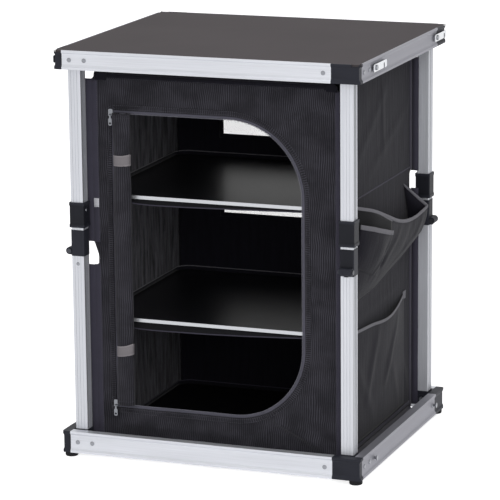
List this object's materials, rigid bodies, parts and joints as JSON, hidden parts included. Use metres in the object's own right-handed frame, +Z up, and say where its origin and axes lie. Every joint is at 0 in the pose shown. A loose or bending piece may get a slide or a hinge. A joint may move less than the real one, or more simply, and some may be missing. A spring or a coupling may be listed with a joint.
{
  "type": "folding camping cupboard",
  "caption": "Folding camping cupboard: two metal frames on four knee-jointed legs, a table top, and a fabric body with shelves, side pockets and a rolled-up front door.",
  "frame": {"origin": "centre of the floor rectangle under the feet, at floor level", "axes": "+Z up, -Y towards the door, +X to the right seen from the front"},
  "size_m": [0.6072, 0.53, 0.785],
  "materials": {
    "frame_aluminium": "satin anodised",
    "leg_aluminium": "satin anodised, fine drawn lines",
    "black_plastic": "fine moulded texture",
    "foot_rubber": "matt",
    "steel": "zinc plated",
    "latch_steel": "polished",
    "shelf_board": "smooth black laminate",
    "strip_aluminium": "bright",
    "table_board": "fine grained laminate",
    "body_cloth": "ribbed polyester",
    "pocket_cloth": "polyester with grey binding",
    "mesh": "fine light grey mesh",
    "strap_webbing": "grey webbing",
    "zip_metal": "dark coated"
  },
  "bodies": {
    "base": {"base_rails_long": "frame_aluminium", "base_rails_short": "frame_aluminium", "base_corners": "black_plastic", "feet": "foot_rubber", "base_rivets": "steel", "base_brackets": "black_plastic", "latch_studs": "steel", "base_slats": "frame_aluminium", "floor_board": "shelf_board", "fabric_front": "body_cloth", "fabric_back": "body_cloth", "fabric_left": "body_cloth", "fabric_right": "body_cloth", "back_vents": "mesh", "door_roll": "body_cloth", "roll_straps": "strap_webbing", "side_pockets": "pocket_cloth"},
    "top_frame": {"top_board": "table_board", "top_rails_long": "frame_aluminium", "top_rails_short": "frame_aluminium", "top_corners": "black_plastic", "top_rivets": "steel", "top_brackets": "black_plastic"},
    "lower_leg_front_left": {"lower_leg_front_left": "leg_aluminium", "lower_ends_front_left": "black_plastic"},
    "upper_leg_front_left": {"upper_leg_front_left": "leg_aluminium", "upper_ends_front_left": "black_plastic", "knee_pin_front_left": "steel"},
    "lock_sleeve_front_left": {"lock_sleeve_front_left": "black_plastic"},
    "lower_leg_front_right": {"lower_leg_front_right": "leg_aluminium", "lower_ends_front_right": "black_plastic"},
    "upper_leg_front_right": {"upper_leg_front_right": "leg_aluminium", "upper_ends_front_right": "black_plastic", "knee_pin_front_right": "steel"},
    "lock_sleeve_front_right": {"lock_sleeve_front_right": "black_plastic"},
    "lower_leg_back_right": {"lower_leg_back_right": "leg_aluminium", "lower_ends_back_right": "black_plastic"},
    "upper_leg_back_right": {"upper_leg_back_right": "leg_aluminium", "upper_ends_back_right": "black_plastic", "knee_pin_back_right": "steel"},
    "lock_sleeve_back_right": {"lock_sleeve_back_right": "black_plastic"},
    "lower_leg_back_left": {"lower_leg_back_left": "leg_aluminium", "lower_ends_back_left": "black_plastic"},
    "upper_leg_back_left": {"upper_leg_back_left": "leg_aluminium", "upper_ends_back_left": "black_plastic", "knee_pin_back_left": "steel"},
    "lock_sleeve_back_left": {"lock_sleeve_back_left": "black_plastic"},
    "latch_right_front": {"latch_right_front": "latch_steel"},
    "latch_right_rear": {"latch_right_rear": "latch_steel"},
    "latch_left_rear": {"latch_left_rear": "latch_steel"},
    "latch_left_front": {"latch_left_front": "latch_steel"},
    "shelf_lower": {"shelf_lower": "shelf_board", "shelf_strip_lower": "strip_aluminium"},
    "zip_slider_lower": {"zip_slider_lower": "zip_metal"},
    "zip_pull_lower": {"zip_pull_lower": "zip_metal"},
    "shelf_upper": {"shelf_upper": "shelf_board", "shelf_strip_upper": "strip_aluminium"},
    "zip_slider_upper": {"zip_slider_upper": "zip_metal"},
    "zip_pull_upper": {"zip_pull_upper": "zip_metal"}
  },
  "joints": [
    {"name": "fold", "type": "hinge", "parent": "base", "child": "lower_leg_front_left", "pos_m": [-0.2675, -0.2325, 0.036], "axis": [0, 1, 0], "range_deg": [0, 90], "deforming": ["fabric_front", "fabric_back", "fabric_left", "fabric_right", "back_vents", "door_roll", "roll_straps", "side_pockets"]},
    {"name": "knee_front_left", "type": "hinge", "parent": "lower_leg_front_left", "child": "upper_leg_front_left", "pos_m": [-0.285, -0.2325, 0.4], "axis": [0, -1, 0], "range_deg": [0, 180]},
    {"name": "head_front_left", "type": "hinge", "parent": "upper_leg_front_left", "child": "top_frame", "pos_m": [-0.2675, -0.2325, 0.764], "axis": [0, 1, 0], "range_deg": [0, 90]},
    {"name": "foot_front_right", "type": "hinge", "parent": "base", "child": "lower_leg_front_right", "pos_m": [0.2675, -0.2325, 0.036], "axis": [-1, 0, 0], "range_deg": [0, 90]},
    {"name": "head_front_right", "type": "hinge", "parent": "top_frame", "child": "upper_leg_front_right", "pos_m": [0.2675, -0.2325, 0.764], "axis": [1, 0, 0], "range_deg": [0, 90]},
    {"name": "foot_back_right", "type": "hinge", "parent": "base", "child": "lower_leg_back_right", "pos_m": [0.2675, 0.2325, 0.036], "axis": [0, -1, 0], "range_deg": [0, 90]},
    {"name": "head_back_right", "type": "hinge", "parent": "top_frame", "child": "upper_leg_back_right", "pos_m": [0.2675, 0.2325, 0.764], "axis": [0, 1, 0], "range_deg": [0, 90]},
    {"name": "foot_back_left", "type": "hinge", "parent": "base", "child": "lower_leg_back_left", "pos_m": [-0.2675, 0.2325, 0.036], "axis": [1, 0, 0], "range_deg": [0, 90]},
    {"name": "head_back_left", "type": "hinge", "parent": "top_frame", "child": "upper_leg_back_left", "pos_m": [-0.2675, 0.2325, 0.764], "axis": [-1, 0, 0], "range_deg": [0, 90]},
    {"name": "shelf_lower_drop", "type": "slide", "parent": "base", "child": "shelf_lower", "axis": [0, 0, -1], "range_m": [0, 0.2202]},
    {"name": "shelf_upper_drop", "type": "slide", "parent": "base", "child": "shelf_upper", "axis": [0, 0, -1], "range_m": [0, 0.4377]},
    {"name": "zip_lower_drop", "type": "slide", "parent": "base", "child": "zip_slider_lower", "axis": [0, 0, -1], "range_m": [0, 0.0733]},
    {"name": "zip_upper_drop", "type": "slide", "parent": "base", "child": "zip_slider_upper", "axis": [0, 0, -1], "range_m": [0, 0.5944]},
    {"name": "unlock_front_left", "type": "slide", "parent": "upper_leg_front_left", "child": "lock_sleeve_front_left", "axis": [0, 0, 1], "range_m": [0, 0.02], "stiffness_N_per_m": 100, "springref_m": -0.01},
    {"name": "unlock_front_right", "type": "slide", "parent": "upper_leg_front_right", "child": "lock_sleeve_front_right", "axis": [0, 0, 1], "range_m": [0, 0.02], "stiffness_N_per_m": 100, "springref_m": -0.01},
    {"name": "unlock_back_right", "type": "slide", "parent": "upper_leg_back_right", "child": "lock_sleeve_back_right", "axis": [0, 0, 1], "range_m": [0, 0.02], "stiffness_N_per_m": 100, "springref_m": -0.01},
    {"name": "unlock_back_left", "type": "slide", "parent": "upper_leg_back_left", "child": "lock_sleeve_back_left", "axis": [0, 0, 1], "range_m": [0, 0.02], "stiffness_N_per_m": 100, "springref_m": -0.01},
    {"name": "hook_right_front", "type": "hinge", "parent": "top_frame", "child": "latch_right_front", "pos_m": [0.3, -0.175, 0.767], "axis": [-1, 0, 0], "range_deg": [0, 90]},
    {"name": "hook_right_rear", "type": "hinge", "parent": "top_frame", "child": "latch_right_rear", "pos_m": [0.3, 0.203, 0.767], "axis": [-1, 0, 0], "range_deg": [0, 90]},
    {"name": "hook_left_rear", "type": "hinge", "parent": "top_frame", "child": "latch_left_rear", "pos_m": [-0.3, 0.175, 0.767], "axis": [1, 0, 0], "range_deg": [0, 90]},
    {"name": "hook_left_front", "type": "hinge", "parent": "top_frame", "child": "latch_left_front", "pos_m": [-0.3, -0.203, 0.767], "axis": [1, 0, 0], "range_deg": [0, 90]},
    {"name": "pull_lower", "type": "hinge", "parent": "zip_slider_lower", "child": "zip_pull_lower", "pos_m": [-0.208, -0.2172, 0.0963], "axis": [-1, 0, 0], "range_deg": [0, 180]},
    {"name": "pull_upper", "type": "hinge", "parent": "zip_slider_upper", "child": "zip_pull_upper", "pos_m": [-0.208, -0.2172, 0.6593], "axis": [-1, 0, 0], "range_deg": [0, 180]}
  ],
  "couplings": [
    {"joint": "knee_front_left", "follows": "fold", "ratio": 2},
    {"joint": "head_front_left", "follows": "fold", "ratio": 1},
    {"joint": "foot_front_right", "follows": "fold", "ratio": 1},
    {"joint": "head_front_right", "follows": "fold", "ratio": 1},
    {"joint": "foot_back_right", "follows": "fold", "ratio": 1},
    {"joint": "head_back_right", "follows": "fold", "ratio": 1},
    {"joint": "foot_back_left", "follows": "fold", "ratio": 1},
    {"joint": "head_back_left", "follows": "fold", "ratio": 1},
    {"joint": "shelf_lower_drop", "follows": "fold", "m_per_rad": 0.14018},
    {"joint": "shelf_upper_drop", "follows": "fold", "m_per_rad": 0.27861},
    {"joint": "zip_lower_drop", "follows": "fold", "m_per_rad": 0.046664},
    {"joint": "zip_upper_drop", "follows": "fold", "m_per_rad": 0.37834}
  ]
}
